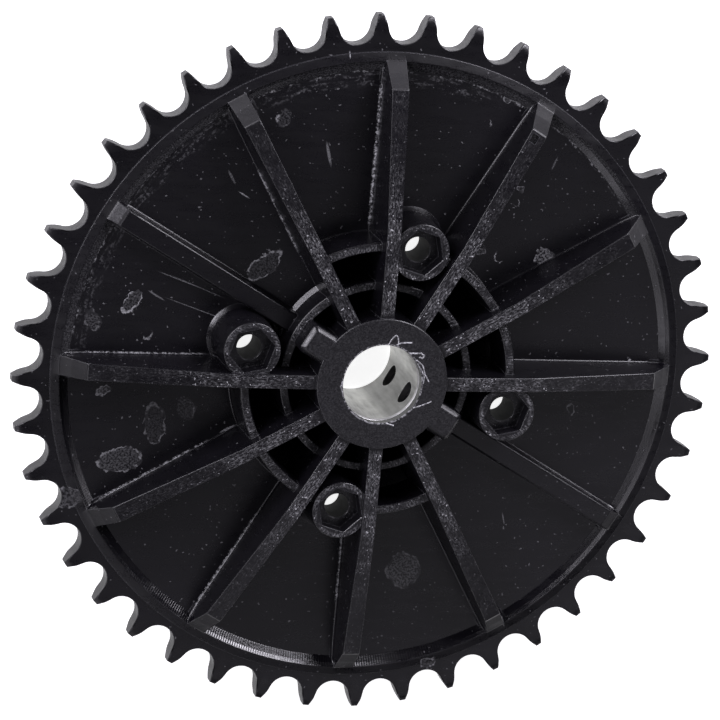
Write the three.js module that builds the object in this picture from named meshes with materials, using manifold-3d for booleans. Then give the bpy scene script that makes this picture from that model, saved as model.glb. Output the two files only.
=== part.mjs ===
// Rear chain sprocket: a one-piece moulded plastic sprocket body with a metal sleeve moulded into its hub.
// Millimetres. +Z runs along the bore towards the ribbed front, and the origin is on the bore axis
// at the back end of the hub. A radial rib points along +X.

import * as THREE from "three";
import { mergeVertices } from "three/addons/utils/BufferGeometryUtils.js";
import Module from "manifold-3d";

const wasm = await Module();
wasm.setup();

// ---- Driving dimensions ----

const CHAIN_PITCH = 12.7; // half-inch chain
const TOOTH_COUNT = 44;
const ROLLER_SEAT_RADIUS = 4.5; // arc at the bottom of each tooth gap
const ROLLER_SEAT_HALF_ANGLE = 75; // degrees of that arc on each side
const TOOTH_FLANK_RADIUS = 20; // convex flank above the roller seat
const TIP_RADIUS = 91.9;
const TOOTH_PHASE = -1.35; // degrees from +X to the middle of the nearest tooth gap
const TIP_BEVEL_RADIUS = 89.7; // both faces of a tooth fall away outside this radius
const TIP_BEVEL_DROP = 0.9; // taken off each face at the tip

const HUB_LENGTH = 31.5;
const HUB_RADIUS = 17.05;
const HUB_DRAFT = 0.55; // the hub is this much thicker at its foot
const HUB_LIP = 2.5; // plastic over the front end of the sleeve
const HUB_LIP_BORE_RADIUS = 10.2;

const SLEEVE_BORE_RADIUS = 10;
const SLEEVE_WALL = 2;
const SLEEVE_MOUTH_CHAMFER = 0.25;
const CLEARANCE = 0.3; // between the sleeve and the plastic around it

const KEY_ANGLE = -28; // degrees: the sleeve's cross holes, on this side and the opposite one
const KEY_HEIGHTS = [6.7, 22.3];
const KEY_HOLE_RADIUS = 3;
const KEY_RECESS = 1.4; // the plastic in a cross hole stops this far short of the bore

const RIM_FRONT = 17.1;
const RIM_THICKNESS = 5.2;
const WEB_FRONT = 16.3;
const WEB_THICKNESS = 2.4;
const WEB_OUTER_RADIUS = 77.7; // where the web's front face meets the slope up to the bead
const BEAD_RADIUS = 80.3; // raised circular bead between web and teeth
const BEAD_HEIGHT = 0.95; // above the rim's front face
const BEAD_FOOT_RADIUS = 82.5;
const BEAD_STEP = 0.35; // height of the bead's outer edge above the rim
const SLOPE_BREAK = [79.35, 17.25]; // radius and height where the slope up to the bead gets steeper
const BACK_STEP_RADIUS = 79.5;

const DISH_RADIUS = 35.8; // the web turns down into a conical dish here
const DISH_FOOT = 4.8; // height of the dish's front face at the hub
const DISH_THICKNESS = 2.9; // measured along Z

const RIB_SPACING = 30; // degrees
const RIB_TOP_HALF_WIDTH = 1.8;
const RIB_DRAFT = 0.06; // half-width gained per millimetre downwards
const RIB_CREST = [[15, 31], [40, 30.4], [74.3, 24.6], [80.3, 18.2]]; // radius and height
const LOW_RIB_CREST = [[24, 20.7], [77, 20.3], [80.3, 18.2]];
const LOW_RIB_INDICES = [5, 11]; // the two ribs that start at the inner ring
const RECESS_RIB_ANGLE = 60; // this rib has a small recess in its crest, beside the outer corner
const RECESS = { near: 71.3, far: 73.6, right: -0.4, left: 1.5, floor: 24.1 };

const OUTER_RING = { inside: 33.4, outside: 35.8, top: 27.5 };
const INNER_RING = { inside: 22.7, outside: 25.1, top: 24.6 };
const RING_DRAFT = 0.035;
const FLAT_SECTOR_STARTS = [120, 300]; // degrees: here the flat web runs in to the inner ring
const FLAT_SECTOR_SPAN = 40;
const SECTOR_WALL = 1.6; // wall left around the window behind a flat sector

const LUG_ANGLES = [150, 330];
const LUG_WIDTH = 8;
const LUG_REACH = 23.6; // from the axis
const LUG_CORNER_RADIUS = 1.4;

const BOSS_ANGLES = [77.3, 167.3, 257.3, 347.3];
const BOSS_CIRCLE_RADIUS = 34.75;
const BOSS_FACE = 29.8;
const BOSS_FACE_RADIUS = 7.4;
const BOSS_FOOT = 10;
const BOSS_FOOT_RADIUS = 8;
const NUT_ACROSS_FLATS = 10.3; // M6 nut pocket
const NUT_DEPTH = 4;
const NUT_TURN = 25.5; // degrees from the boss's radial line to a corner of the pocket
const BOLT_HOLE_RADIUS = 3.2;
const BOLT_SEAT = 14.8; // height of the flat seat behind each boss
const BOLT_SEAT_RADIUS = 6.6;

const ROUND_SEGMENTS = 60; // round the big diameters
const SMALL_SEGMENTS = 20; // round bosses and holes

const RIM_BACK = RIM_FRONT - RIM_THICKNESS;
const WEB_BACK = WEB_FRONT - WEB_THICKNESS;
const WEB_MIDDLE = (WEB_FRONT + WEB_BACK) / 2;
const SLEEVE_RADIUS = SLEEVE_BORE_RADIUS + SLEEVE_WALL;
const SOCKET_RADIUS = SLEEVE_RADIUS + CLEARANCE;
const SOCKET_TOP = HUB_LENGTH - HUB_LIP;
const HUB_FOOT_RADIUS = HUB_RADIUS + HUB_DRAFT;

// ---- Helpers ----

const radians = THREE.MathUtils.degToRad;
const polar = (radius, degrees) => new THREE.Vector2(
  radius * Math.cos(radians(degrees)),
  radius * Math.sin(radians(degrees)),
);

// A closed three.js geometry as a solid.
function solid(geometry) {
  const bare = geometry.index ? geometry.toNonIndexed() : geometry.clone();
  bare.deleteAttribute("normal");
  bare.deleteAttribute("uv");
  const merged = mergeVertices(bare, 1e-4);
  const corners = [];
  for (let i = 0; i < merged.index.count; i += 3) {
    const [a, b, c] = [merged.index.getX(i), merged.index.getX(i + 1), merged.index.getX(i + 2)];
    if (a !== b && b !== c && c !== a) corners.push(a, b, c);
  }
  return new wasm.Manifold(new wasm.Mesh({
    numProp: 3,
    vertProperties: new Float32Array(merged.attributes.position.array),
    triVerts: new Uint32Array(corners),
  }));
}

// A solid back as a geometry with flat shading normals.
function geometryOf(body) {
  const mesh = body.getMesh();
  const geometry = new THREE.BufferGeometry();
  geometry.setAttribute("position", new THREE.BufferAttribute(mesh.vertProperties, 3));
  geometry.setIndex(new THREE.BufferAttribute(mesh.triVerts, 1));
  const faceted = geometry.toNonIndexed();
  faceted.computeVertexNormals();
  return faceted;
}

// A closed profile of [radius, height] pairs, listed anticlockwise, turned about Z.
function turned(profile, segments = ROUND_SEGMENTS) {
  const points = [...profile, profile[0]].map(([radius, height]) => new THREE.Vector2(radius, height));
  const geometry = new THREE.LatheGeometry(points, segments);
  geometry.rotateX(Math.PI / 2);
  return solid(geometry);
}

// An outline in the XY plane, raised from one height to another.
function raised(outline, from, to, holes = []) {
  const shape = new THREE.Shape(outline);
  shape.holes = holes.map((points) => new THREE.Path(points));
  const geometry = new THREE.ExtrudeGeometry(shape, { depth: to - from, bevelEnabled: false });
  geometry.translate(0, 0, from);
  return solid(geometry);
}

function circle(radius, segments, centre = new THREE.Vector2(), phase = 0) {
  return Array.from({ length: segments }, (_, i) => (
    polar(radius, phase + (360 * i) / segments).add(centre)
  ));
}

// A round bar along Z, with its own radius at each end.
function bar(bottomRadius, topRadius, from, to, centre) {
  const geometry = new THREE.CylinderGeometry(topRadius, bottomRadius, to - from, SMALL_SEGMENTS);
  geometry.rotateX(Math.PI / 2);
  geometry.translate(centre.x, centre.y, (from + to) / 2);
  return solid(geometry);
}

function annularSector(inside, outside, startAngle, span, steps = 10) {
  const along = (radius) => Array.from({ length: steps + 1 }, (_, i) => (
    polar(radius, startAngle + (span * i) / steps)
  ));
  return [...along(outside), ...along(inside).reverse()];
}

// Height of the dish at a radius: 0 for its front face, 1 for its back face.
function dishHeight(radius, side) {
  const front = THREE.MathUtils.mapLinear(radius, HUB_FOOT_RADIUS, DISH_RADIUS, DISH_FOOT, WEB_FRONT);
  return front - side * DISH_THICKNESS;
}

const spin = (body, degrees) => body.rotate([0, 0, degrees]);

// ---- Tooth plate ----

// Points from the bottom of a gap at angle 0 up one side to the tip of the tooth.
function halfGap() {
  const pitchRadius = CHAIN_PITCH / (2 * Math.sin(Math.PI / TOOTH_COUNT));
  const toothAngle = Math.PI / TOOTH_COUNT;
  const seatEnd = radians(ROLLER_SEAT_HALF_ANGLE);
  const seatSteps = 4;
  const flankSteps = 3;
  const points = [];
  for (let i = 0; i <= seatSteps; i += 1) {
    const turn = (seatEnd * i) / seatSteps;
    points.push(new THREE.Vector2(
      pitchRadius - ROLLER_SEAT_RADIUS * Math.cos(turn),
      ROLLER_SEAT_RADIUS * Math.sin(turn),
    ));
  }
  const reach = ROLLER_SEAT_RADIUS + TOOTH_FLANK_RADIUS;
  const flankCentre = new THREE.Vector2(
    pitchRadius - reach * Math.cos(seatEnd),
    reach * Math.sin(seatEnd),
  );
  const flankPoint = (turn) => new THREE.Vector2(
    flankCentre.x + TOOTH_FLANK_RADIUS * Math.cos(turn - seatEnd),
    flankCentre.y + TOOTH_FLANK_RADIUS * Math.sin(turn - seatEnd),
  );
  let flankEnd = 0;
  while (flankPoint(flankEnd).length() < TIP_RADIUS && flankPoint(flankEnd).angle() < toothAngle) {
    flankEnd += 0.002;
  }
  for (let i = 1; i <= flankSteps; i += 1) points.push(flankPoint((flankEnd * i) / flankSteps));
  return points;
}

function toothOutline() {
  const half = halfGap();
  const mirrored = half.slice(1).reverse().map((point) => new THREE.Vector2(point.x, -point.y));
  const gap = [...mirrored, ...half];
  const outline = [];
  for (let tooth = 0; tooth < TOOTH_COUNT; tooth += 1) {
    const turn = radians(TOOTH_PHASE + (360 * tooth) / TOOTH_COUNT);
    for (const point of gap) outline.push(point.clone().rotateAround(new THREE.Vector2(), turn));
  }
  return outline;
}

// A disc with bevelled edges and one flat for each tooth, which thins the teeth towards their tips.
function bevelledDisc() {
  const toFlat = 1 / Math.cos(Math.PI / TOOTH_COUNT);
  const disc = turned([
    [0, RIM_BACK],
    [TIP_BEVEL_RADIUS * toFlat, RIM_BACK],
    [TIP_RADIUS * toFlat, RIM_BACK + TIP_BEVEL_DROP],
    [TIP_RADIUS * toFlat, RIM_FRONT - TIP_BEVEL_DROP],
    [TIP_BEVEL_RADIUS * toFlat, RIM_FRONT],
    [0, RIM_FRONT],
  ], TOOTH_COUNT);
  return spin(disc, TOOTH_PHASE);
}

function toothPlate() {
  const opening = circle(BEAD_RADIUS, ROUND_SEGMENTS);
  return raised(toothOutline(), RIM_BACK, RIM_FRONT, [opening]).intersect(bevelledDisc());
}

// ---- Web, dish and hub in one turned piece ----

function webAndHub() {
  return turned([
    [HUB_LIP_BORE_RADIUS, SOCKET_TOP],
    [SOCKET_RADIUS, SOCKET_TOP],
    [SOCKET_RADIUS, 0],
    [HUB_RADIUS, 0],
    [HUB_FOOT_RADIUS, dishHeight(HUB_FOOT_RADIUS, 1)],
    [DISH_RADIUS + 0.8, WEB_BACK],
    [BACK_STEP_RADIUS - 1.2, WEB_BACK],
    [BACK_STEP_RADIUS, RIM_BACK],
    [BEAD_FOOT_RADIUS, RIM_BACK],
    [BEAD_FOOT_RADIUS, RIM_FRONT + BEAD_STEP],
    [BEAD_RADIUS, RIM_FRONT + BEAD_HEIGHT],
    SLOPE_BREAK,
    [WEB_OUTER_RADIUS, WEB_FRONT],
    [DISH_RADIUS, WEB_FRONT],
    [HUB_FOOT_RADIUS, DISH_FOOT],
    [HUB_RADIUS, HUB_LENGTH],
    [HUB_LIP_BORE_RADIUS, HUB_LENGTH],
  ]);
}

// ---- Ribs ----

// A wall standing on the web or dish, whose top follows the crest and whose sides slope outwards.
function rib(crest) {
  const [innerRadius] = crest[0];
  const [outerRadius] = crest[crest.length - 1];
  const foot = [[outerRadius, WEB_MIDDLE], [DISH_RADIUS, WEB_MIDDLE]];
  const innerFoot = innerRadius < HUB_FOOT_RADIUS ? dishHeight(HUB_FOOT_RADIUS, 0.5) : WEB_MIDDLE;
  foot.push([Math.max(innerRadius, HUB_FOOT_RADIUS), innerFoot]);
  if (innerRadius < HUB_FOOT_RADIUS) foot.push([innerRadius, innerFoot]);
  const outline = [...crest, ...foot].map(([radius, height]) => new THREE.Vector2(radius, height));
  const geometry = new THREE.ExtrudeGeometry(new THREE.Shape(outline), { depth: 1, bevelEnabled: false });
  const position = geometry.attributes.position;
  for (let i = 0; i < position.count; i += 1) {
    const [radius, height, end] = [position.getX(i), position.getY(i), position.getZ(i)];
    const halfWidth = RIB_TOP_HALF_WIDTH + RIB_DRAFT * (HUB_LENGTH - height);
    position.setXYZ(i, radius, end > 0.5 ? -halfWidth : halfWidth, height);
  }
  return solid(geometry);
}

function ribs() {
  const count = 360 / RIB_SPACING;
  return Array.from({ length: count }, (_, i) => (
    spin(rib(LOW_RIB_INDICES.includes(i) ? LOW_RIB_CREST : RIB_CREST), i * RIB_SPACING)
  ));
}

function ribRecess() {
  const { near, far, right, left, floor } = RECESS;
  const outline = [[near, right], [far, right], [far, left], [near, left]];
  const cut = raised(outline.map(([x, y]) => new THREE.Vector2(x, y)), floor, HUB_LENGTH);
  return spin(cut, RECESS_RIB_ANGLE);
}

// ---- Rings, flat sectors and lugs ----

function ring({ inside, outside, top }) {
  const innerFoot = dishHeight(inside, 0.5);
  const outerFoot = dishHeight(outside, 0.5);
  return turned([
    [inside - RING_DRAFT * (top - innerFoot), innerFoot],
    [outside + RING_DRAFT * (top - outerFoot), outerFoot],
    [outside, top],
    [inside, top],
  ]);
}

const sectorBetween = (start, from, to, inside, outside) => (
  raised(annularSector(inside, outside, start, FLAT_SECTOR_SPAN), from, to)
);

// The outer ring has no wall where the web is flat.
function outerRing() {
  return FLAT_SECTOR_STARTS.reduce(
    (wall, start) => wall.subtract(
      sectorBetween(start, WEB_MIDDLE, HUB_LENGTH, OUTER_RING.inside - 2, OUTER_RING.outside + 2),
    ),
    ring(OUTER_RING),
  );
}

const sectorPlate = (start) => (
  sectorBetween(start, WEB_BACK, WEB_FRONT, INNER_RING.outside - 1, DISH_RADIUS + 2)
);

// The open space behind a flat sector, where the dish is left out.
function sectorWindow(start) {
  const margin = 3;
  const outline = annularSector(
    INNER_RING.outside + SECTOR_WALL,
    DISH_RADIUS + SECTOR_WALL,
    start + margin,
    FLAT_SECTOR_SPAN - 4 * margin,
  );
  return raised(outline, -1, WEB_BACK);
}

// Everything below the middle of the dish wall.
function belowDish() {
  const wide = LUG_REACH + 1;
  return turned([
    [0, -1],
    [wide, -1],
    [wide, dishHeight(wide, 0.5)],
    [HUB_FOOT_RADIUS, dishHeight(HUB_FOOT_RADIUS, 0.5)],
    [0, dishHeight(HUB_FOOT_RADIUS, 0.5)],
  ]);
}

function lug(angle) {
  const half = LUG_WIDTH / 2;
  const corner = LUG_CORNER_RADIUS;
  const shape = new THREE.Shape();
  shape.moveTo(SOCKET_RADIUS + 1, -half);
  shape.lineTo(LUG_REACH - corner, -half);
  shape.absarc(LUG_REACH - corner, -half + corner, corner, -Math.PI / 2, 0, false);
  shape.absarc(LUG_REACH - corner, half - corner, corner, 0, Math.PI / 2, false);
  shape.lineTo(SOCKET_RADIUS + 1, half);
  const outline = shape.getPoints(4);
  return spin(raised(outline, 0, HUB_LENGTH).subtract(belowDish()), angle);
}

// ---- Bosses with nut pockets ----

const bossCentre = (angle) => polar(BOSS_CIRCLE_RADIUS, angle);

const boss = (angle) => bar(BOSS_FOOT_RADIUS, BOSS_FACE_RADIUS, BOSS_FOOT, BOSS_FACE, bossCentre(angle));

function bossCuts(angle) {
  const centre = bossCentre(angle);
  const cornerRadius = NUT_ACROSS_FLATS / Math.sqrt(3);
  return [
    raised(circle(cornerRadius, 6, centre, angle + NUT_TURN), BOSS_FACE - NUT_DEPTH, HUB_LENGTH),
    bar(BOLT_HOLE_RADIUS, BOLT_HOLE_RADIUS, 0, HUB_LENGTH, centre),
    bar(BOLT_SEAT_RADIUS, BOLT_SEAT_RADIUS, 0, BOLT_SEAT, centre),
  ];
}

// ---- Keys: round bars across the bore, used to cut the sleeve and to fill its holes ----

function crossBar(radius, height, from, to, angle) {
  const geometry = new THREE.CylinderGeometry(radius, radius, to - from, SMALL_SEGMENTS);
  geometry.rotateZ(-Math.PI / 2);
  geometry.translate((from + to) / 2, 0, height);
  return spin(solid(geometry), angle);
}

const keySides = [KEY_ANGLE, KEY_ANGLE + 180];

const keys = (radius, from, to) => KEY_HEIGHTS.flatMap((height) => (
  keySides.map((angle) => crossBar(radius, height, from, to, angle))
));

// ---- The two pieces ----

function sprocketBody() {
  const joined = [
    toothPlate(),
    outerRing(),
    ring(INNER_RING),
    ...ribs(),
    ...LUG_ANGLES.map(lug),
    ...BOSS_ANGLES.map(boss),
  ].reduce((body, piece) => body.add(piece), webAndHub());
  const opened = FLAT_SECTOR_STARTS.reduce((body, start) => body.subtract(sectorWindow(start)), joined);
  const plated = FLAT_SECTOR_STARTS.reduce((body, start) => body.add(sectorPlate(start)), opened);
  const socket = turned([
    [0, -1],
    [SOCKET_RADIUS, -1],
    [SOCKET_RADIUS, SOCKET_TOP],
    [HUB_LIP_BORE_RADIUS, SOCKET_TOP],
    [HUB_LIP_BORE_RADIUS, HUB_LENGTH + 1],
    [0, HUB_LENGTH + 1],
  ]);
  const tools = [socket, ribRecess(), ...BOSS_ANGLES.flatMap(bossCuts)];
  const cut = tools.reduce((body, tool) => body.subtract(tool), plated);
  return keys(
    KEY_HOLE_RADIUS - CLEARANCE,
    SLEEVE_BORE_RADIUS + KEY_RECESS,
    SOCKET_RADIUS + 1,
  ).reduce((body, key) => body.add(key), cut);
}

function hubSleeve() {
  const top = SOCKET_TOP - CLEARANCE;
  const tube = turned([
    [SLEEVE_BORE_RADIUS, SLEEVE_MOUTH_CHAMFER],
    [SLEEVE_BORE_RADIUS + SLEEVE_MOUTH_CHAMFER, 0],
    [SLEEVE_RADIUS, 0],
    [SLEEVE_RADIUS, top],
    [SLEEVE_BORE_RADIUS + SLEEVE_MOUTH_CHAMFER, top],
    [SLEEVE_BORE_RADIUS, top - 2 * SLEEVE_MOUTH_CHAMFER],
  ]);
  return keys(KEY_HOLE_RADIUS, SLEEVE_BORE_RADIUS - 2, SLEEVE_RADIUS + 2)
    .reduce((body, hole) => body.subtract(hole), tube);
}

function piece(name, body, color, roughness, metalness) {
  const material = new THREE.MeshStandardMaterial({ color, roughness, metalness });
  const mesh = new THREE.Mesh(geometryOf(body), material);
  mesh.name = name;
  return mesh;
}

const sprocket = new THREE.Group();
sprocket.add(piece("sprocket_body", sprocketBody(), 0x1c1b1f, 0.42, 0));
sprocket.add(piece("hub_sleeve", hubSleeve(), 0xb9bab8, 0.38, 0.9));

export default sprocket;
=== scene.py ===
"""Looks of a moulded plastic rear chain sprocket with a metal sleeve in its hub.

Shapes are drawn in millimetres in the part's own frame and scaled to metres when a piece is finished:
+Z runs along the bore towards the ribbed front, the origin is at the back end of the hub.
"""
import math

import bmesh
import bpy
import numpy as np
from mathutils import Matrix, Vector

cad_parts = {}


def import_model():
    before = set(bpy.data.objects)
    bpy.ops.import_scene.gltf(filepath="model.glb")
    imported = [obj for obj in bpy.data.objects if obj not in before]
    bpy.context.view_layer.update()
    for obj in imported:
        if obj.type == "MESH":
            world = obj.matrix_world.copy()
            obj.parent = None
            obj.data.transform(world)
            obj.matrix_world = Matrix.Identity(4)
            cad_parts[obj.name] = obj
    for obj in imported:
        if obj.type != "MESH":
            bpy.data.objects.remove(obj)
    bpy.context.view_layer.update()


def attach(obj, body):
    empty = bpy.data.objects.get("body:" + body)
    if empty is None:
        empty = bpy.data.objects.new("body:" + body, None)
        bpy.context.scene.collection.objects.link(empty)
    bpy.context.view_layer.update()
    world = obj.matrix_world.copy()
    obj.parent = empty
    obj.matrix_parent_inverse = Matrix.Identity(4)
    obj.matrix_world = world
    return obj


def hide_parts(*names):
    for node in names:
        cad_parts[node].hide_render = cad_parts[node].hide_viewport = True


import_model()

# ---- Sizes, in millimetres and degrees ----

TOOTH_COUNT = 44
CHAIN_PITCH = 12.7
ROLLER_SEAT_RADIUS = 4.5
ROLLER_SEAT_HALF_ANGLE = 75
TOOTH_FLANK_RADIUS = 20
TIP_RADIUS = 91.86
TOOTH_PHASE = -1.35
TOOTH_EDGE = 0.3
TIP_BEVEL_RADIUS = 89.7
TIP_BEVEL_DROP = 0.9

HUB_LENGTH = 31.5
HUB_FACE = 31.4  # the moulding's front face, just below the loose flash that lies on it
HUB_RADIUS = 17.05
HUB_FOOT_RADIUS = 17.6
LIP_BORE_RADIUS = 10.2
SOCKET_RADIUS = 12.3
SOCKET_TOP = 29.0
SLEEVE_BORE_RADIUS = 10.0
SLEEVE_RADIUS = 12.0
SLEEVE_TOP = 28.7
KEY_ANGLES = (-28, 152)
KEY_HEIGHTS = (6.7, 22.3)
KEY_HOLE_RADIUS = 3.0
KEY_RADIUS = 2.7
KEY_RECESS = 1.4

RIM_FRONT = 17.1
RIM_BACK = 11.9
WEB_FRONT = 16.3
WEB_BACK = 13.9
WEB_OUTER_RADIUS = 77.7
SLOPE_BREAK = (79.35, 17.25)
BEAD_CREST = (80.3, 18.05)
BEAD_EDGE = (82.5, 17.45)
BACK_STEP_RADIUS = 79.5
# Radius and height of the tooth plate inside the tooth gaps, from its front to its back. The middle
# of it is buried in the bead.
RIM_INSIDE = (
    (83.6, RIM_FRONT),
    (80, RIM_FRONT),
    (78.6, 15.6),
    (77.7, 14.9),
    (BACK_STEP_RADIUS, RIM_BACK),
    (83.6, RIM_BACK),
)

DISH_RADIUS = 35.8
DISH_FOOT = 4.8
DISH_THICKNESS = 2.9
DISH_SINK = 1.4  # how far rings and lugs reach down into the dish
INNER_RING = (22.7, 25.1, 24.6)
OUTER_RING = (33.4, 35.8, 27.5)
RING_DRAFT = 0.035
RING_EDGE = 0.55
RING_FLARE = 0.8
RING_FOOT = 1.0
FLAT_SECTORS = (120, 300)
FLAT_SPAN = 40

RIB_SPACING = 30
RIB_HALF_WIDTH = 1.8
RIB_DRAFT = 0.06
RIB_CREST = ((15, 31.0), (40, 30.4), (74.3, 24.6), (80.3, 18.2))
LOW_RIB_CREST = ((24, 20.7), (77, 20.3), (80.3, 18.2))
LOW_RIBS = (150, 330)
RIB_EDGE = 0.28
LOW_RIB_EDGE = 0.6
RIB_FOOT = 0.7

LUG_ANGLES = (150, 330)
LUG_HALF_WIDTH = 4
LUG_REACH = 23.6
LUG_BEVEL = ((0, 1.5), (0.2, 1.05), (1.05, 0.2), (1.5, 0))  # taken off the side, taken off the top

BOSS_ANGLES = (77.3, 167.3, 257.3, 347.3)
BOSS_CIRCLE = 34.75
BOSS_FACE = 29.8
BOSS_FACE_RADIUS = 7.4
BOSS_EDGE = 0.35
BOSS_FLARE = 1.5
BOSS_FOOT = 10
NUT_CORNER_RADIUS = 10.3 / math.sqrt(3)
NUT_FLOOR = 25.8
NUT_TURN = 25.5
BOLT_HOLE_RADIUS = 3.2
BOLT_SEAT = 14.8
BOLT_SEAT_RADIUS = 6.6

RECESS_RIB = 60
RECESS = (71.3, 73.6, -0.4, 1.5, 24.1)  # from and to radius, right and left of the rib's middle, floor
# Curls of flash on the hub's face: (angle, radius) along each, and its thickness. All but the fifth and
# the last follow points that another program converted from the reference picture.
FLASH = (
    (((86, 10.4), (83, 11.8), (79, 13.2), (76, 12.6), (73, 11.2)), 0.1),
    (((75, 10.6), (70, 11.5), (64, 12.2), (58, 12.9)), 0.12),
    (((52, 10.5), (46, 11.4), (41, 12.6), (36, 12.8), (35, 12.0), (39, 11.6)), 0.12),
    (((38, 10.5), (27, 11.3), (14, 11.2), (4, 12.1)), 0.1),
    (((24, 10.5), (12, 11.0), (2, 10.6)), 0.09),
    (((-36, 10.4), (-31, 11.2), (-24, 12.5), (-18, 13.9)), 0.1),
    (((-80, 10.4), (-74, 11.0), (-70, 11.5)), 0.1),
    (((176, 10.4), (184, 10.8), (192, 10.5)), 0.09),
)

ROUND = 240  # steps round the big diameters
SMALL = 48  # steps round bosses and holes


# ---- Outlines ----

def rounded(corners, steps=3):
    """A closed outline from corners (x, y, radius), each turned into an arc of that radius."""
    points = []
    for i, (x, y, radius) in enumerate(corners):
        here = np.array((x, y), float)
        if radius <= 0:
            points.append(here)
            continue
        before = np.array(corners[i - 1][:2], float) - here
        after = np.array(corners[(i + 1) % len(corners)][:2], float) - here
        before /= np.linalg.norm(before)
        after /= np.linalg.norm(after)
        half = math.acos(float(np.clip(before @ after, -1, 1))) / 2
        inward = (before + after) / np.linalg.norm(before + after)
        centre = here + inward * radius / math.sin(half)
        first = here + before * radius / math.tan(half) - centre
        last = here + after * radius / math.tan(half) - centre
        turn = math.atan2(first[0] * last[1] - first[1] * last[0], float(first @ last))
        for k in range(steps + 1):
            c, s = math.cos(turn * k / steps), math.sin(turn * k / steps)
            points.append(centre + (first[0] * c - first[1] * s, first[0] * s + first[1] * c))
    return np.array(points)


def circle(radius, segments):
    angle = np.linspace(0, 2 * math.pi, segments, endpoint=False)
    return np.c_[radius * np.cos(angle), radius * np.sin(angle)]


def at_height(outline, height):
    return np.c_[outline, np.broadcast_to(height, len(outline))]


def polar(radius, degrees):
    return np.array((radius * math.cos(math.radians(degrees)), radius * math.sin(math.radians(degrees))))


def inset(outline, distance):
    """The outline moved inwards by distance, for an anticlockwise outline."""
    along = np.roll(outline, -1, 0) - np.roll(outline, 1, 0)
    along /= np.linalg.norm(along, axis=1)[:, None]
    return outline + distance * np.c_[-along[:, 1], along[:, 0]]


def tooth_outline(seat_steps=9, flank_steps=8):
    pitch_radius = CHAIN_PITCH / (2 * math.sin(math.pi / TOOTH_COUNT))
    seat_end = math.radians(ROLLER_SEAT_HALF_ANGLE)
    turn = np.linspace(0, seat_end, seat_steps + 1)
    seat = np.c_[pitch_radius - ROLLER_SEAT_RADIUS * np.cos(turn), ROLLER_SEAT_RADIUS * np.sin(turn)]
    reach = ROLLER_SEAT_RADIUS + TOOTH_FLANK_RADIUS
    centre = np.array((pitch_radius - reach * math.cos(seat_end), reach * math.sin(seat_end)))
    turn = np.arange(0, 1, 0.002)
    flank = centre + TOOTH_FLANK_RADIUS * np.c_[np.cos(turn - seat_end), np.sin(turn - seat_end)]
    end = int(np.argmax(np.linalg.norm(flank, axis=1) >= TIP_RADIUS))
    half = np.r_[seat, flank[np.linspace(0, end, flank_steps + 1).astype(int)[1:]]]
    gap = np.r_[half[:0:-1] * (1, -1), half]
    teeth = []
    for tooth in range(TOOTH_COUNT):
        a = math.radians(TOOTH_PHASE + 360 * tooth / TOOTH_COUNT)
        teeth.append(gap @ np.array(((math.cos(a), math.sin(a)), (-math.sin(a), math.cos(a)))))
    return np.concatenate(teeth)


def dish_front(radius):
    slope = (WEB_FRONT - DISH_FOOT) / (DISH_RADIUS - HUB_FOOT_RADIUS)
    return DISH_FOOT + (radius - HUB_FOOT_RADIUS) * slope


# ---- Solids ----

def loft(name, loops, closed=False):
    """A solid through loops with equally many points. A closed loft joins its last loop to its first."""
    mesh = bmesh.new()
    rings = [[mesh.verts.new(point) for point in loop] for loop in loops]
    pairs = list(zip(rings, rings[1:])) + ([(rings[-1], rings[0])] if closed else [])
    for low, high in pairs:
        for i in range(len(low)):
            j = (i + 1) % len(low)
            mesh.faces.new((low[i], low[j], high[j], high[i]))
    if not closed:
        mesh.faces.new(rings[0])
        mesh.faces.new(rings[-1])
    bmesh.ops.recalc_face_normals(mesh, faces=mesh.faces)
    data = bpy.data.meshes.new(name)
    mesh.to_mesh(data)
    mesh.free()
    piece = bpy.data.objects.new(name, data)
    bpy.context.scene.collection.objects.link(piece)
    return piece


def lathe(name, profile, segments=ROUND):
    """A profile of (radius, height) points turned about Z."""
    return loft(name, [at_height(circle(r, segments), z) for r, z in profile], closed=True)


def part_lathe(name, profile, start, span):
    """The same over part of a turn, with flat ends."""
    loops = []
    for angle in np.linspace(start, start + span, int(span / 1.5) + 1):
        x, y = polar(1, angle)
        loops.append([(r * x, r * y, z) for r, z in profile])
    return loft(name, loops)


def turned_to(piece, degrees, offset=(0, 0)):
    piece.data.transform(Matrix.Rotation(math.radians(degrees), 4, "Z"))
    piece.data.transform(Matrix.Translation((offset[0], offset[1], 0)))
    return piece


def combine(base, tools, operation="UNION"):
    for tool in tools:
        step = base.modifiers.new("step", "BOOLEAN")
        step.operation = operation
        step.solver = "MANIFOLD"
        step.object = tool
        depsgraph = bpy.context.evaluated_depsgraph_get()
        data = bpy.data.meshes.new_from_object(base.evaluated_get(depsgraph))
        base.modifiers.clear()
        base.data = data
        bpy.data.objects.remove(tool)
    return base


def cut(base, tools):
    return combine(base, tools, "DIFFERENCE")


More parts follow.
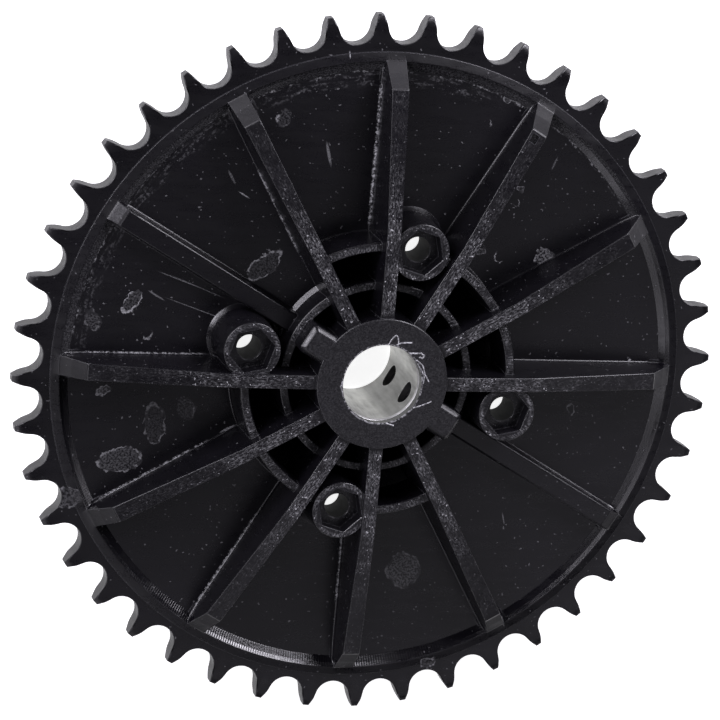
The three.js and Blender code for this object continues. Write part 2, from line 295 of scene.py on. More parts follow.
def tooth_plate():
    """The toothed rim with rounded edges, thinned at both faces towards the tips."""
    outline = tooth_outline()
    reach = np.linalg.norm(outline, axis=1)
    radial = outline / reach[:, None]
    drop = TIP_BEVEL_DROP * np.clip((reach - TIP_BEVEL_RADIUS) / (TIP_RADIUS - TIP_BEVEL_RADIUS), 0, 1)
    flat = radial * np.minimum(reach - 1.5 * TOOTH_EDGE, TIP_BEVEL_RADIUS)[:, None]
    loops = [at_height(flat, RIM_BACK)]
    for a in np.linspace(0, math.pi / 2, 4):
        edge = inset(outline, TOOTH_EDGE * (1 - math.sin(a)))
        loops.append(at_height(edge, RIM_BACK + drop + TOOTH_EDGE * (1 - math.cos(a))))
    for a in np.linspace(0, math.pi / 2, 4):
        edge = inset(outline, TOOTH_EDGE * (1 - math.cos(a)))
        loops.append(at_height(edge, RIM_FRONT - drop - TOOTH_EDGE * (1 - math.sin(a))))
    loops.append(at_height(flat, RIM_FRONT))
    for radius, height in RIM_INSIDE:
        loops.append(at_height(radial * radius, height))
    return loft("tooth_plate", loops, closed=True)


def web():
    """Web, bead and dish: the dish is cut from the front, and a window behind each flat sector."""
    profile = rounded([
        (14, DISH_FOOT - DISH_THICKNESS, 0),
        (HUB_FOOT_RADIUS, DISH_FOOT - DISH_THICKNESS, 0),
        (DISH_RADIUS + 0.8, WEB_BACK, 1.0),
        (BEAD_EDGE[0], WEB_BACK, 0),
        (*BEAD_EDGE, 0.12),
        (*BEAD_CREST, 0.3),
        (*SLOPE_BREAK, 0.1),
        (WEB_OUTER_RADIUS, WEB_FRONT, 0.25),
        (14, WEB_FRONT, 0),
    ])
    body = lathe("web", profile)
    deep = [(14.5, dish_front(14.5)), (36.4, dish_front(36.4)), (36.4, 40), (14.5, 40)]
    middle = sum(INNER_RING[:2]) / 2
    shallow = [(14.5, dish_front(14.5)), (middle, dish_front(middle)), (middle, 40), (14.5, 40)]
    dishes = []
    for start in FLAT_SECTORS:
        dishes.append(part_lathe("deep", deep, start + FLAT_SPAN, 180 - FLAT_SPAN))
        dishes.append(part_lathe("shallow", shallow, start - 3, FLAT_SPAN + 6))
    cut(body, dishes)
    windows = []
    for start in FLAT_SECTORS:
        section = [(26.7, -1), (37.4, -1), (37.4, WEB_BACK + 0.02), (26.7, WEB_BACK + 0.02)]
        windows.append(part_lathe("window", section, start + 3, FLAT_SPAN - 12))
    return cut(body, windows)


def hub():
    profile = rounded([
        (LIP_BORE_RADIUS, SOCKET_TOP, 0),
        (SOCKET_RADIUS, SOCKET_TOP, 0),
        (SOCKET_RADIUS, 0, 0.25),
        (HUB_RADIUS, 0, 0.5),
        (HUB_FOOT_RADIUS, DISH_FOOT - 1, 0),
        (HUB_RADIUS, HUB_FACE, 0.4),
        (LIP_BORE_RADIUS, HUB_FACE, 0.15),
    ])
    return lathe("hub", profile)


def ring_profile(inside, outside, top):
    foot_in, foot_out = dish_front(inside) - DISH_SINK, dish_front(outside) - DISH_SINK
    wide = outside + RING_DRAFT * (top - foot_out)
    stand = dish_front(outside) - 0.01
    return rounded([
        (inside - RING_DRAFT * (top - foot_in), foot_in, 0),
        (wide + RING_FLARE, foot_out, 0),
        (wide + RING_FLARE, stand, 0),
        (wide, stand, 0.6),
        (outside, top, RING_EDGE),
        (inside, top, RING_EDGE),
    ])


def rings():
    walls = [lathe("inner_ring", ring_profile(*INNER_RING))]
    for start in FLAT_SECTORS:
        walls.append(part_lathe("outer_ring", ring_profile(*OUTER_RING), start + FLAT_SPAN, 180 - FLAT_SPAN))
        wall = INNER_RING[1] + RING_DRAFT * (INNER_RING[2] - WEB_FRONT)
        foot = [(wall - 0.5, WEB_FRONT - 0.5), (wall + RING_FOOT, WEB_FRONT - 0.5)]
        foot += [(wall + RING_FOOT, WEB_FRONT - 0.02), (wall, WEB_FRONT + RING_FOOT)]
        foot.append((wall - 0.5, WEB_FRONT + RING_FOOT))
        walls.append(part_lathe("ring_foot", foot, start - 1, FLAT_SPAN + 2))
    return walls


def ground(radius, low):
    """Height of the moulding's front surface under a rib."""
    if radius < DISH_RADIUS:
        return WEB_FRONT if low else dish_front(max(radius, HUB_FOOT_RADIUS))
    radii, heights = zip((WEB_OUTER_RADIUS, WEB_FRONT), SLOPE_BREAK, BEAD_CREST, BEAD_EDGE)
    return float(np.interp(radius, radii, heights))


def rib_half_width(height):
    return RIB_HALF_WIDTH + RIB_DRAFT * (HUB_LENGTH - height)


def rib(angle):
    """A radial rib with soft upper edges and a small fillet along each side of its foot."""
    low = angle in LOW_RIBS
    crest = LOW_RIB_CREST if low else RIB_CREST
    corner = crest[-2][0]
    along = set(np.arange(crest[0][0], 73, 3.0)) | {radius for radius, _ in crest[:-1]}
    stations = sorted(along | {36.2, corner - 0.25, corner, corner + 0.25, 78.4, 79.35, 79.8, 80.3, 80.7})
    radii, heights = zip(*crest)
    loops = []
    for radius in stations:
        top = float(np.interp(radius, radii, heights))
        if abs(radius - corner) < 0.01:
            top -= 0.05
        if radius > radii[-1]:
            top -= 0.45
        floor = ground(radius, low)
        room = max(top - floor, 0.15)
        foot, edge = min(RIB_FOOT, room / 3), min(LOW_RIB_EDGE if low else RIB_EDGE, room / 3)
        sunk = floor - 0.03
        at_foot, at_top = rib_half_width(sunk), rib_half_width(top)
        wide = at_foot + foot + 0.2
        section = rounded([
            (-wide, floor - 1.2, 0),
            (wide, floor - 1.2, 0),
            (wide, sunk, 0),
            (at_foot, sunk, foot),
            (at_top, top, edge),
            (-at_top, top, edge),
            (-at_foot, sunk, foot),
            (-wide, sunk, 0),
        ])
        loops.append([(radius, s, z) for s, z in section])
    return turned_to(loft("rib", loops), angle)


def lug(angle):
    """A square lug on the hub, level with its face, with soft upper edges."""
    def outline(shrink):
        far, half, corner = LUG_REACH - shrink, LUG_HALF_WIDTH - shrink, max(1.4 - shrink / 2, 0.4)
        return rounded([(13.2, -half, 0), (far, -half, corner), (far, half, corner), (13.2, half, 0)], 5)

    loops = [at_height(outline(0), 3.4)]
    loops += [at_height(outline(side), HUB_FACE - drop) for side, drop in LUG_BEVEL]
    body = loft("lug", loops)
    foot = DISH_FOOT - DISH_SINK
    under = [(0.5, -1), (26, -1), (26, dish_front(26) - DISH_SINK), (HUB_FOOT_RADIUS, foot), (0.5, foot)]
    return turned_to(cut(body, [lathe("under", under)]), angle)


def boss(angle):
    foot = BOSS_FACE_RADIUS + BOSS_FLARE
    section = [(foot, BOSS_FOOT), (foot, WEB_FRONT - 0.02)]
    section += [(foot - 0.9, WEB_FRONT + 0.85), (foot - 1.15, WEB_FRONT + 1.4)]
    for a in np.radians((0, 30, 60, 90)):
        side, drop = BOSS_EDGE * (1 - math.cos(a)), BOSS_EDGE * (1 - math.sin(a))
        section.append((BOSS_FACE_RADIUS - side, BOSS_FACE - drop))
    loops = [at_height(circle(r, SMALL), z) for r, z in section]
    return turned_to(loft("boss", loops), angle, polar(BOSS_CIRCLE, angle))


def boss_cuts(angle):
    centre = polar(BOSS_CIRCLE, angle)
    hexagon = [(NUT_CORNER_RADIUS, NUT_FLOOR), (NUT_CORNER_RADIUS, BOSS_FACE - 0.15)]
    hexagon.append((NUT_CORNER_RADIUS + 0.5, BOSS_FACE + 0.35))
    corners = []
    for radius, height in hexagon:
        points = [(*polar(radius, 60 * i), 0.35) for i in range(6)]
        corners.append(at_height(rounded(points, 2), height))
    tools = [turned_to(loft("pocket", corners), angle + NUT_TURN, centre)]
    hole = [(BOLT_HOLE_RADIUS, 0), (BOLT_HOLE_RADIUS, NUT_FLOOR - 0.2)]
    hole.append((BOLT_HOLE_RADIUS + 0.5, NUT_FLOOR + 0.3))
    seat = [(BOLT_SEAT_RADIUS, -1), (BOLT_SEAT_RADIUS, BOLT_SEAT)]
    for section in (hole, seat):
        loops = [at_height(circle(r, SMALL), z) for r, z in section]
        tools.append(turned_to(loft("hole", loops), 0, centre))
    return tools


def cross_bar(angle, height, radius, near, far):
    loops = []
    for x in (near, far):
        loops.append([(x, y, height + z) for y, z in circle(radius, 32)])
    return turned_to(loft("cross_bar", loops), angle)


def cross_bars(radius, near, far):
    return [cross_bar(angle, height, radius, near, far) for angle in KEY_ANGLES for height in KEY_HEIGHTS]


def strand(path, radius):
    """A thin ribbon of plastic along a path of points, twice as wide as it is thick."""
    path = np.array(path, float)
    along = np.gradient(path, axis=0)
    side = np.cross(along / np.linalg.norm(along, axis=1)[:, None], (0, 0, 1))
    side /= np.linalg.norm(side, axis=1)[:, None]
    loops = []
    for point, across in zip(path, side):
        loops.append([point + 2 * x * across + (0, 0, y) for x, y in circle(radius, 6)])
    return loft("strand", loops)


def flash():
    """Curls of thin flash round the mouth of the bore, lying on the hub's face."""
    strands = []
    for curl, radius in FLASH:
        turns, reaches = zip(*curl)
        knots = np.linspace(0, 1, len(curl))
        steps = np.linspace(0, 1, 4 * len(curl))
        points = [polar(np.interp(t, knots, reaches), np.interp(t, knots, turns)) for t in steps]
        strands.append(strand(at_height(np.array(points), HUB_FACE - 0.02), radius))
    return strands


def rib_recess():
    """A small square recess in the top of one rib, beside its outer corner."""
    near, far, right, left, low = RECESS
    square = [(near, right), (far, right), (far, left), (near, left)]
    return turned_to(loft("recess", [at_height(square, z) for z in (low, low + 2.9)]), RECESS_RIB)


def sprocket_body():
    body = tooth_plate()
    body.name = body.data.name = "sprocket_moulding"
    features = [web(), hub(), *rings()]
    features += [rib(angle) for angle in range(0, 360, RIB_SPACING)]
    features += [lug(angle) for angle in LUG_ANGLES] + [boss(angle) for angle in BOSS_ANGLES]
    combine(body, features)
    cut(body, [tool for angle in BOSS_ANGLES for tool in boss_cuts(angle)] + [rib_recess()])
    past = HUB_LENGTH + 0.5
    socket = [(0.5, -1), (SOCKET_RADIUS, -1), (SOCKET_RADIUS, SOCKET_TOP)]
    socket += [(LIP_BORE_RADIUS, SOCKET_TOP), (LIP_BORE_RADIUS, past), (0.5, past)]
    cut(body, [lathe("socket", socket)])
    combine(body, flash())
    return combine(body, cross_bars(KEY_RADIUS, SLEEVE_BORE_RADIUS + KEY_RECESS, SOCKET_RADIUS + 1))


def hub_sleeve():
    profile = rounded([
        (SLEEVE_BORE_RADIUS, 0.25, 0),
        (SLEEVE_BORE_RADIUS + 0.25, 0, 0),
        (SLEEVE_RADIUS, 0, 0.2),
        (SLEEVE_RADIUS, SLEEVE_TOP, 0.2),
        (SLEEVE_BORE_RADIUS + 0.25, SLEEVE_TOP, 0.1),
        (SLEEVE_BORE_RADIUS, SLEEVE_TOP - 0.5, 0.15),
    ])
    tube = lathe("sleeve_tube", profile, 144)
    tube.name = "sleeve_tube"
    return cut(tube, cross_bars(KEY_HOLE_RADIUS, SLEEVE_BORE_RADIUS - 2, SLEEVE_RADIUS + 2))


def finish_piece(piece, material, node):
    """Scales a piece to metres, shades it, and ties it to the frame."""
    mesh = bmesh.new()
    mesh.from_mesh(piece.data)
    bmesh.ops.remove_doubles(mesh, verts=mesh.verts, dist=0.003)
    bmesh.ops.dissolve_degenerate(mesh, edges=mesh.edges, dist=0.003)
    bmesh.ops.scale(mesh, vec=(0.001, 0.001, 0.001), verts=mesh.verts)
    mesh.to_mesh(piece.data)
    mesh.free()
    piece.data.shade_smooth()
    piece.data.set_sharp_from_angle(angle=math.radians(38))
    even = piece.modifiers.new("even_normals", "WEIGHTED_NORMAL")
    even.keep_sharp = True
    even.mode = "FACE_AREA"
    piece.data.materials.clear()
    piece.data.materials.append(material)
    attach(piece, "root")
    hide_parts(node)


# ---- Materials: textures are worked out in millimetres from the object's own coordinates ----

class Nodes:
    """A material's node tree, built from short calls. Values are numbers or sockets."""

    def __init__(self, name):
        self.material = bpy.data.materials.new(name)
        self.material.use_nodes = True
        self.tree = self.material.node_tree
        self.shader = self.tree.nodes["Principled BSDF"]

    def feed(self, socket, value):
        if isinstance(value, bpy.types.NodeSocket):
            self.tree.links.new(value, socket)
        else:
            socket.default_value = value

    def add(self, kind, inputs=(), **settings):
        node = self.tree.nodes.new("ShaderNode" + kind)
        for key, value in settings.items():
            setattr(node, key, value)
        for key, value in dict(inputs).items():
            self.feed(node.inputs[key], value)
        return node

    def math(self, operation, *values):
        return self.add("Math", enumerate(values), operation=operation).outputs[0]

    def times(self, *values):
        result = values[0]
        for value in values[1:]:
            result = self.math("MULTIPLY", result, value)
        return result

    def largest(self, *values):
        result = values[0]
        for value in values[1:]:
            result = self.math("MAXIMUM", result, value)
        return result

    def ramp(self, value, low, high, start=0.0, end=1.0):
        """Goes smoothly from start to end while value goes from low to high."""
        inputs = {"Value": value, "From Min": low, "From Max": high, "To Min": start, "To Max": end}
        return self.add("MapRange", inputs, interpolation_type="SMOOTHSTEP").outputs["Result"]

    def band(self, value, low, high, soft):
        rising = self.ramp(value, low - soft, low + soft)
        return self.times(rising, self.ramp(value, high - soft, high + soft, 1, 0))

    def noise(self, where, scale, detail=2.0, roughness=0.5):
        inputs = {"Vector": where, "Scale": scale, "Detail": detail, "Roughness": roughness}
        return self.add("TexNoise", inputs).outputs["Fac"]

    def placed(self, where, centre, size, degrees=0.0):
        """Coordinates that are 0 at centre and 1 at the given half sizes, ignoring height."""
        node = self.add("Mapping", {"Vector": where}, vector_type="TEXTURE")
        node.inputs["Location"].default_value = (*centre, 0)
        node.inputs["Rotation"].default_value = (0, 0, math.radians(degrees))
        node.inputs["Scale"].default_value = (*size, 1e4)
        return node.outputs[0]

    def stretched(self, where, scale):
        return self.add("Mapping", {"Vector": where, "Scale": scale}).outputs[0]

    def length(self, vector):
        return self.add("VectorMath", {0: vector}, operation="LENGTH").outputs["Value"]

    def mix(self, factor, first, second):
        node = self.add("Mix", {"Factor": factor}, data_type="RGBA")
        for socket, value in zip([i for i in node.inputs if i.type == "RGBA"], (first, second)):
            self.feed(socket, value if isinstance(value, bpy.types.NodeSocket) else (*value, 1))
        return [o for o in node.outputs if o.type == "RGBA"][0]


class Surface:
    """Where a shaded point is on the part, in millimetres and degrees."""

    def __init__(self, nodes):
        metres = nodes.add("TexCoord").outputs["Object"]
        scaled = nodes.add("VectorMath", {0: metres, 1: (1000, 1000, 1000)}, operation="MULTIPLY")
        self.point = scaled.outputs[0]
        split = nodes.add("SeparateXYZ", {0: self.point})
        x, y, self.z = split.outputs
        self.radius = nodes.math("SQRT", nodes.math("ADD", nodes.times(x, x), nodes.times(y, y)))
        self.angle = nodes.times(nodes.math("ARCTAN2", y, x), 180 / math.pi)
        normal = nodes.add("NewGeometry").outputs["Normal"]
        self.up = nodes.add("SeparateXYZ", {0: normal}).outputs[2]
        soft = nodes.add("Bevel", {"Radius": 0.0004}, samples=6).outputs[0]
        straight = nodes.add("VectorMath", {0: soft, 1: normal}, operation="DOT_PRODUCT").outputs["Value"]
        self.edge = nodes.ramp(straight, 0.995, 0.86)
        # Distance from the nearest bolt's axis, by the rule of cosines.
        turn = nodes.times(nodes.math("SUBTRACT", self.angle, BOSS_ANGLES[0]), math.pi / 180)
        near = nodes.math("COSINE", nodes.math("PINGPONG", turn, math.pi / 4))
        square = nodes.math("ADD", nodes.times(self.radius, self.radius), BOSS_CIRCLE ** 2)
        square = nodes.math("SUBTRACT", square, nodes.times(self.radius, near, 2 * BOSS_CIRCLE))
        self.from_bolt = nodes.math("SQRT", nodes.math("MAXIMUM", square, 0))


# Dried marks on the web and rim: centre, half sizes, turn in degrees, line width and strength of the
# outline, strength of the inside, and whether only the half towards the turned +X side shows.
# Most of the centres are another program's output, converted from places in the reference picture.
MARKS = (
    ((30.5, 71.3), (1.0, 1.0), 0, 0.3, 0.55, 0.1, False),
    ((26.3, 64.9), (0.6, 0.9), 20, 0.3, 0.4, 0.0, True),
    ((45.5, 64.2), (0.7, 0.7), 0, 0.3, 0.35, 0.1, False),
    ((36.2, 48.3), (0.7, 0.7), 0, 0.3, 0.4, 0.1, False),
    ((35.0, 44.3), (1.3, 1.0), -60, 0.3, 0.55, 0.0, True),
    ((44.1, 30.3), (2.3, 2.2), 0, 0.35, 0.7, 0.35, False),
    ((27.4, 31.5), (1.1, 1.1), 0, 0.3, 0.4, 0.1, False),
    ((32.3, 30.1), (1.4, 1.3), 215, 0.4, 0.8, 0.0, True),
    ((14.2, -54.2), (4.3, 4.6), 0, 0.5, 0.45, 0.3, False),
    ((23.0, -79.3), (1.9, 1.6), 0, 0.35, 0.5, 0.15, False),
    ((-27.1, 64.5), (2.3, 1.5), 235, 0.45, 0.8, 0.1, True),
    ((-29.2, 26.5), (5.0, 2.3), 42, 0.4, 0.75, 0.1, False),
    ((-62.6, 16.2), (2.9, 1.9), 50, 0.35, 0.75, 0.12, False),
    ((-58.2, 8.2), (1.9, 1.2), -70, 0.35, 0.5, 0.0, True),
    ((-72.5, 11.3), (2.6, 1.8), -60, 0.4, 0.3, 0.12, False),
    ((-68.4, -7.1), (1.7, 1.1), 10, 0.35, 0.6, 0.25, False),
    ((-47.0, -11.5), (2.4, 3.1), 20, 0.4, 0.5, 0.1, True),
    ((-54.5, -15.5), (2.7, 5.0), 8, 0.4, 0.35, 0.06, False),
    ((-62.8, -25.2), (5.5, 3.0), 10, 0.4, 0.5, 0.15, False),
    ((-75.5, -35.0), (3.2, 2.6), 30, 0.4, 0.4, 0.15, False),
    ((55.5, -10.5), (1.0, 1.6), 10, 0.3, 0.6, 0.0, False),
    ((69.5, 3.0), (0.5, 0.9), -20, 0.3, 0.2, 1.0, False),
)
# Pale rubbed smears and scratches: centre, half sizes, turn in degrees, strength. The first two centres
# are that program's output too, and the last two are close to it.
SMEARS = (
    ((-15.0, 55.6), (3.8, 0.5), 105, 0.4),
    ((-50.8, 22.2), (7.0, 0.16), 160, 0.5),
    ((-46.0, 20.5), (9.0, 0.14), 158, 0.3),
    ((-44.5, 14.2), (12.0, 0.13), 161, 0.4),
    ((-56.5, 18.0), (3.0, 0.3), 150, 0.3),
    ((-39.5, 49.0), (0.4, 2.4), 30, 0.3),
    ((-36.0, 44.5), (2.0, 0.25), 150, 0.8),
    ((44.5, 55.0), (0.3, 2.2), -20, 0.25),
    ((58.0, 36.0), (2.2, 0.3), 20, 0.35),
    ((40.0, -40.0), (0.25, 2.0), 15, 0.3),
    ((-12.0, 81.4), (0.22, 1.1), 5, 0.7),
    ((-35.5, -16.6), (2.6, 0.4), 28, 0.7),
)


# Residue in the corner at a rib's foot: the rib's angle, offset to its anticlockwise side, half width,
# from and to radius, strength.
FOOT_LINES = (
    (90, 3.05, 0.5, 37, 76, 1.0),
    (120, 3.0, 0.4, 36, 62, 0.6),
    (180, -3.1, 0.3, 42, 77, 0.6),
    (210, -3.15, 0.35, 44, 77, 0.75),
    (240, -3.15, 0.35, 46, 77, 0.9),
    (270, -3.15, 0.4, 38, 64, 0.8),
)


def dried_marks(nodes, at):
    """Outlines of dried drops and smears, wavy and broken up by noise."""
    wobble = nodes.add("TexNoise", {"Vector": at.point, "Scale": 0.5, "Detail": 4.0}).outputs["Color"]
    shift = nodes.add("VectorMath", {0: wobble, 1: (0.5, 0.5, 0.5)}, operation="SUBTRACT").outputs[0]
    shift = nodes.add("VectorMath", {0: shift, "Scale": 3.2}, operation="SCALE").outputs[0]
    wavy = nodes.add("VectorMath", {0: at.point, 1: shift}, operation="ADD").outputs[0]
    speckle = nodes.ramp(nodes.noise(at.point, 1.9, 3), 0.36, 0.6)
    broken = nodes.ramp(nodes.noise(at.point, 0.5, 2), 0.42, 0.56, 0.12, 1)
    found = 0.0
    for centre, size, turn, line, outline, inside, half in MARKS:
        place = nodes.placed(wavy, centre, size, turn)
        reach = nodes.length(place)
        off = nodes.math("ABSOLUTE", nodes.math("SUBTRACT", reach, 1))
        thin = line / min(size)
        ring = nodes.times(nodes.ramp(off, 0.2 * thin, 0.8 * thin, outline, 0), broken)
        if half:
            ring = nodes.times(ring, nodes.ramp(nodes.add("SeparateXYZ", {0: place}).outputs[0], -0.2, 0.3))
        found = nodes.largest(found, ring)
        if inside:
            found = nodes.largest(found, nodes.times(nodes.ramp(reach, 0.85, 1.0, inside, 0), speckle))
    for centre, size, turn, strength in SMEARS:
        reach = nodes.length(nodes.placed(at.point, centre, size, turn))
        found = nodes.largest(found, nodes.ramp(reach, 0.5, 1.0, strength, 0))
    level = nodes.times(nodes.ramp(at.z, 18.6, 19.2, 1, 0), nodes.ramp(at.z, 15, 16))
    return nodes.times(found, nodes.ramp(at.up, 0.9, 0.97), level, nodes.ramp(speckle, 0, 1, 0.55, 1))


def beside_rib(nodes, at, angle, offset, width, start, end):
    """A thin line beside the rib at an angle, between two radii."""
    middle = polar((start + end) / 2, angle) + polar(offset, angle + 90)
    split = nodes.add("SeparateXYZ", {0: nodes.placed(at.point, middle, (1, 1), angle)})
    reach = (end - start) / 2
    across = nodes.ramp(nodes.math("ABSOLUTE", split.outputs[1]), width * 0.3, width, 1, 0)
    along = nodes.ramp(nodes.math("ABSOLUTE", split.outputs[0]), reach - 3, reach, 1, 0)
    return nodes.times(across, along)


def residue(nodes, at):
    """Pale release residue in corners: along some ribs' feet and along the web's outer edge."""
    grains = nodes.ramp(nodes.noise(at.point, 1.3, 4, 0.65), 0.44, 0.62)
    low = nodes.ramp(at.z, 18.5, 20, 1, 0)
    feet = 0.0
    for *place, strength in FOOT_LINES:
        feet = nodes.largest(feet, nodes.times(beside_rib(nodes, at, *place), strength))
    around = {0: nodes.times(at.angle, 0.35), 1: nodes.times(at.radius, 1.1)}
    patches = nodes.ramp(nodes.noise(nodes.add("CombineXYZ", around).outputs[0], 1.0, 3), 0.46, 0.6)
    edge = nodes.times(nodes.band(at.radius, 77.2, 77.9, 0.3), nodes.band(at.angle, 35, 178, 5), patches)
    far_edge = nodes.times(nodes.band(at.radius, 74.0, 77.4, 0.8), nodes.band(at.angle, 70, 178, 5), patches)
    found = nodes.largest(feet, nodes.times(edge, 0.6), nodes.times(far_edge, 0.13))
    return nodes.times(found, grains, low)


def scuffs(nodes, at):
    """Pale rubbed streaks along the ribs' tops and specks on the raised faces, strongest round the hub."""
    half = RIB_SPACING / 2
    shifted = nodes.math("FLOORED_MODULO", nodes.math("ADD", at.angle, half), RIB_SPACING)
    turned = nodes.math("SUBTRACT", shifted, half)  # from the middle of the nearest rib
    across = nodes.times(turned, at.radius, 2.6 * math.pi / 180)
    which = nodes.times(nodes.math("SUBTRACT", at.angle, turned), 0.4)
    along_rib = nodes.add("CombineXYZ", {0: at.radius, 1: across, 2: which}).outputs[0]
    streaky = nodes.ramp(nodes.noise(along_rib, 1.0, 4, 0.75), 0.44, 0.72)
    patchy = nodes.ramp(nodes.noise(at.point, 0.22, 2), 0.36, 0.62, 0.2, 1)
    high = nodes.times(nodes.band(at.z, 22.5, 31.2, 0.08), nodes.ramp(at.up, 0.9, 0.97))
    near_hub = nodes.times(nodes.ramp(at.radius, 17.3, 19), nodes.ramp(at.radius, 36, 60, 1, 0.16))
    dots = nodes.ramp(nodes.noise(at.point, 1.6, 1), 0.68, 0.74)
    face = nodes.ramp(at.from_bolt, 5.9, 6.3, 0.15, 1)
    return nodes.times(nodes.largest(nodes.times(streaky, patchy, 0.62), dots), near_hub, high, face)


def tool_marks(nodes, at):
    """Fine radial cutter marks 0.48 degrees apart on the slope inside the bead, over part of its turn."""
    wave = nodes.math("SINE", nodes.times(at.angle, 2 * math.pi / 0.48))
    below = nodes.band(at.angle, -155, -68, 4)
    return nodes.times(wave, below, nodes.band(at.radius, 77.9, 80.1, 0.15))


def specks(nodes, at):
    """Dust low down, the loose flash on the hub's face, and torn plastic round the mouth of the bore."""
    dust = nodes.ramp(nodes.noise(at.point, 1.5, 0), 0.80, 0.85)
    dust = nodes.times(dust, nodes.ramp(at.z, 28, 30, 0.2, 0))
    torn = nodes.ramp(nodes.noise(at.point, 1.4, 3), 0.44, 0.58)
    above = nodes.ramp(at.z, HUB_FACE + 0.015, HUB_FACE + 0.05)
    threads = nodes.times(above, nodes.ramp(torn, 0, 1, 0.35, 1))
    round_bore = nodes.times(nodes.band(at.radius, 10.1, 10.6, 0.1), nodes.ramp(at.z, 31, 31.3))
    return nodes.largest(dust, threads, nodes.times(round_bore, torn, 0.5))


def dust_and_painted_slope_reflection(nodes, at, grain, slope):
    """A faint dusting of the hub's face, and a painted reflection over part of the slope inside the bead in
    the same pale speckle.
    """
    amount = nodes.ramp(grain, 0.4, 0.7, 0.02, 0.12)
    hub_face = nodes.ramp(at.z, 31.2, 31.3, 0, 0.45)
    # The slope's part, between 30 and 185 degrees, is a painted reflection.
    where = nodes.largest(hub_face, nodes.times(slope, nodes.band(at.angle, 30, 185, 8)))
    return nodes.times(amount, where, nodes.ramp(at.up, 0.7, 0.75))


def plastic_tone(nodes, at, grain, pale):
    """Near-black with slow variation, a little lighter on worn edges, pale where it is marked and where a
    reflection is painted on the slope.
    """
    cloud = nodes.noise(at.point, 0.05, 4, 0.6)
    tone = nodes.mix(nodes.ramp(cloud, 0.3, 0.7), (0.0022, 0.0020, 0.0030), (0.0038, 0.0034, 0.0050))
    worn = nodes.times(at.edge, nodes.ramp(grain, 0.38, 0.58, 0.3, 1))
    tone = nodes.mix(nodes.times(worn, 0.5), tone, (0.14, 0.14, 0.15))
    return nodes.mix(pale, tone, (0.48, 0.48, 0.50))


def plastic_roughness(nodes, at, grain, slope, marked):
    """Duller on marks, in bolt holes, on tooth walls and ribs' ends, glossier on edges and the slope."""
    streaks = nodes.noise(nodes.stretched(at.point, (0.25, 1.4, 0.6)), 0.35, 4, 0.6)
    rough = nodes.ramp(streaks, 0.3, 0.7, 0.27, 0.35)
    rough = nodes.math("ADD", rough, nodes.ramp(grain, 0.3, 0.7, -0.035, 0.035))
    # The marks here include the painted reflection on the slope inside the bead.
    rough = nodes.math("ADD", rough, nodes.times(marked, 0.16))
    bolt_holes = nodes.times(nodes.ramp(at.from_bolt, 3.4, 3.6, 1, 0), nodes.ramp(at.z, 25.5, 25.8, 1, 0))
    rib_ends = nodes.times(nodes.band(at.radius, 74.6, 80.4, 0.1), nodes.band(at.up, 0.6, 0.88, 0.03))
    rib_ends = nodes.times(rib_ends, nodes.ramp(at.z, 18.2, 18.5))
    tooth_walls = nodes.times(nodes.ramp(at.radius, 83.0, 83.2), nodes.ramp(at.up, 0.3, 0.5, 1, 0))
    duller = nodes.largest(bolt_holes, rib_ends, nodes.times(tooth_walls, 0.4))
    rough = nodes.math("ADD", rough, nodes.times(duller, 0.5))
    rough = nodes.math("SUBTRACT", rough, nodes.times(slope, 0.12))
    return nodes.math("SUBTRACT", rough, nodes.times(at.edge, 0.14))


def moulded_plastic():
    nodes = Nodes("black_plastic")
    at = Surface(nodes)
    marks = nodes.largest(dried_marks(nodes, at), residue(nodes, at))
    rubbed = scuffs(nodes, at)
    pale = nodes.largest(nodes.times(marks, 0.7), nodes.times(rubbed, 0.85), specks(nodes, at))
    grain = nodes.noise(at.point, 2.4, 3, 0.65)
    slope = nodes.band(at.radius, 77.8, 80.1, 0.15)
    # Dust on the hub's face, and a painted reflection on the slope inside the bead.
    pale = nodes.largest(pale, dust_and_painted_slope_reflection(nodes, at, grain, slope))
    nodes.feed(nodes.shader.inputs["Base Color"], plastic_tone(nodes, at, grain, pale))
    rough = plastic_roughness(nodes, at, grain, slope, nodes.largest(pale, rubbed))
    nodes.feed(nodes.shader.inputs["Roughness"], rough)
    height = nodes.math("ADD", nodes.times(grain, 0.6), nodes.times(rubbed, 0.6))
    height = nodes.math("ADD", height, nodes.times(tool_marks(nodes, at), 0.35))
    bump = nodes.add("Bump", {"Height": height, "Strength": 1.0, "Distance": 0.00003})
    nodes.feed(nodes.shader.inputs["Normal"], bump.outputs[0])
    return nodes.material


def sleeve_metal():
    nodes = Nodes("sleeve_metal")
    at = Surface(nodes)
    mottle = nodes.noise(at.point, 0.16, 4, 0.6)
    rub = nodes.noise(nodes.stretched(at.point, (1, 1, 0.15)), 0.9, 4, 0.6)
    tone = nodes.mix(nodes.ramp(mottle, 0.3, 0.7), (0.42, 0.42, 0.41), (0.56, 0.56, 0.54))
    # Painted reflection of dark surroundings: the metal is darkened within 25 degrees of -38 degrees, fading
    # out by 48.
    painted_dark_reflection = nodes.ramp(nodes.math("ABSOLUTE", nodes.math("ADD", at.angle, 38)), 25, 48, 0.62, 0)
    # Darkened where that reflection is painted, and along the rubbed streaks.
    rubs_and_painted_reflection = nodes.largest(painted_dark_reflection, nodes.times(nodes.ramp(rub, 0.55, 0.75), 0.35))
    tone = nodes.mix(rubs_and_painted_reflection, tone, (0.08, 0.08, 0.08))
    mouth = nodes.times(nodes.ramp(at.z, 27.9, 28.2), 0.7)
    tone = nodes.mix(nodes.largest(mouth, nodes.times(at.edge, 0.5)), tone, (0.85, 0.85, 0.84))
    nodes.feed(nodes.shader.inputs["Base Color"], tone)
    nodes.shader.inputs["Metallic"].default_value = 0.9
    nodes.feed(nodes.shader.inputs["Roughness"], nodes.ramp(rub, 0.3, 0.7, 0.34, 0.5))
    bump = nodes.add("Bump", {"Height": rub, "Strength": 1.0, "Distance": 0.00001})
    nodes.feed(nodes.shader.inputs["Normal"], bump.outputs[0])
    return nodes.material


# ---- Floor, light and camera ----

